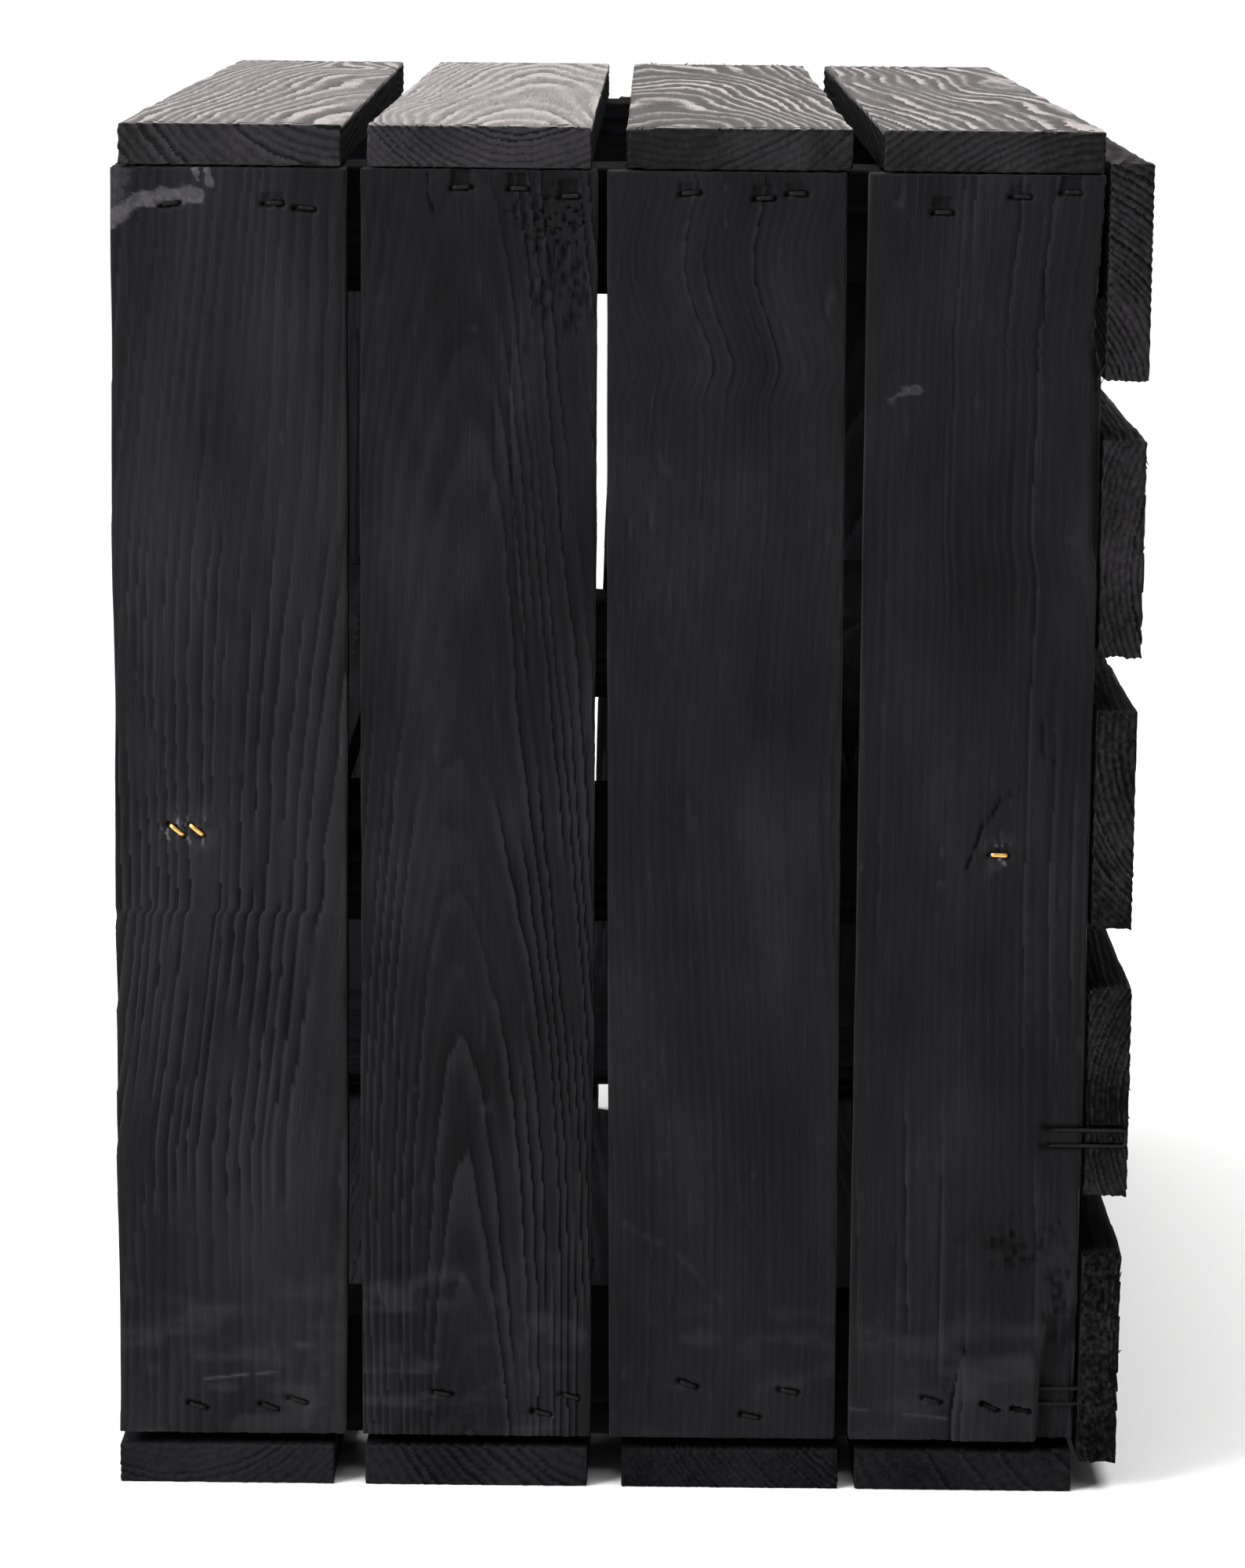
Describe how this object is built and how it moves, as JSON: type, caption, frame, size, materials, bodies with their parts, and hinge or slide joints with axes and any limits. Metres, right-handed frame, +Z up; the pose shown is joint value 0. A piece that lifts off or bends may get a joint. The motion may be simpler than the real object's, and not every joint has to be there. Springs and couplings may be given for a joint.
{
  "type": "fruit crate",
  "caption": "Slatted wooden fruit crate on its long side, with a shelf across the middle and stapled joints, stained matt black.",
  "frame": {"origin": "middle of the box's footprint on the floor, with the crate standing on its long side", "axes": "+Z up, +Y along the crate's length from the front end wall to the rear one, +X from the open mouth to the crate's base"},
  "size_m": [0.311, 0.49, 0.42],
  "materials": {
    "end_wall_wood": "matt black water stain on rough-sawn softwood, worn pale at one corner",
    "long_wall_wood": "matt black water stain on weathered softwood, with raised grain that catches the light",
    "base_wood": "matt black water stain on thin sawn softwood boards",
    "post_wood": "matt black water stain on squared softwood posts",
    "shelf_wood": "matt black water stain on smoother softwood boards",
    "staple_steel": "steel wire, mostly painted over black, with bare worn edges",
    "staple_brass": "brass-coloured wire, slightly rusted, bright on the crown"
  },
  "bodies": {
    "root": {"front_board_1": "end_wall_wood", "front_board_2": "end_wall_wood", "front_board_3": "end_wall_wood", "front_board_4": "end_wall_wood", "rear_board_1": "end_wall_wood", "rear_board_2": "end_wall_wood", "rear_board_3": "end_wall_wood", "rear_board_4": "end_wall_wood", "top_board_1": "long_wall_wood", "top_board_2": "long_wall_wood", "top_board_3": "long_wall_wood", "top_board_4": "long_wall_wood", "bottom_board_1": "long_wall_wood", "bottom_board_2": "long_wall_wood", "bottom_board_3": "long_wall_wood", "bottom_board_4": "long_wall_wood", "base_board_1": "base_wood", "base_board_2": "base_wood", "base_board_3": "base_wood", "base_board_4": "base_wood", "base_board_5": "base_wood", "front_top_post": "post_wood", "front_bottom_post": "post_wood", "rear_top_post": "post_wood", "rear_bottom_post": "post_wood", "front_shelf_batten": "post_wood", "rear_shelf_batten": "post_wood", "shelf_board_1": "shelf_wood", "shelf_board_2": "shelf_wood", "shelf_board_3": "shelf_wood", "shelf_board_4": "shelf_wood", "top_staple_1": "staple_steel", "top_staple_2": "staple_steel", "top_staple_3": "staple_steel", "top_staple_4": "staple_steel", "top_staple_5": "staple_steel", "top_staple_6": "staple_steel", "top_staple_7": "staple_steel", "top_staple_8": "staple_steel", "top_staple_9": "staple_steel", "top_staple_10": "staple_steel", "top_staple_11": "staple_steel", "top_staple_12": "staple_steel", "bottom_staple_1": "staple_steel", "bottom_staple_2": "staple_steel", "bottom_staple_3": "staple_steel", "bottom_staple_4": "staple_steel", "bottom_staple_5": "staple_steel", "bottom_staple_6": "staple_steel", "bottom_staple_7": "staple_steel", "bottom_staple_8": "staple_steel", "bottom_staple_9": "staple_steel", "bottom_staple_10": "staple_steel", "bottom_staple_11": "staple_steel", "bottom_staple_12": "staple_steel", "side_staple_1": "staple_steel", "side_staple_2": "staple_steel", "brass_staple_1": "staple_brass", "brass_staple_2": "staple_brass", "brass_staple_3": "staple_brass"}
  },
  "joints": []
}
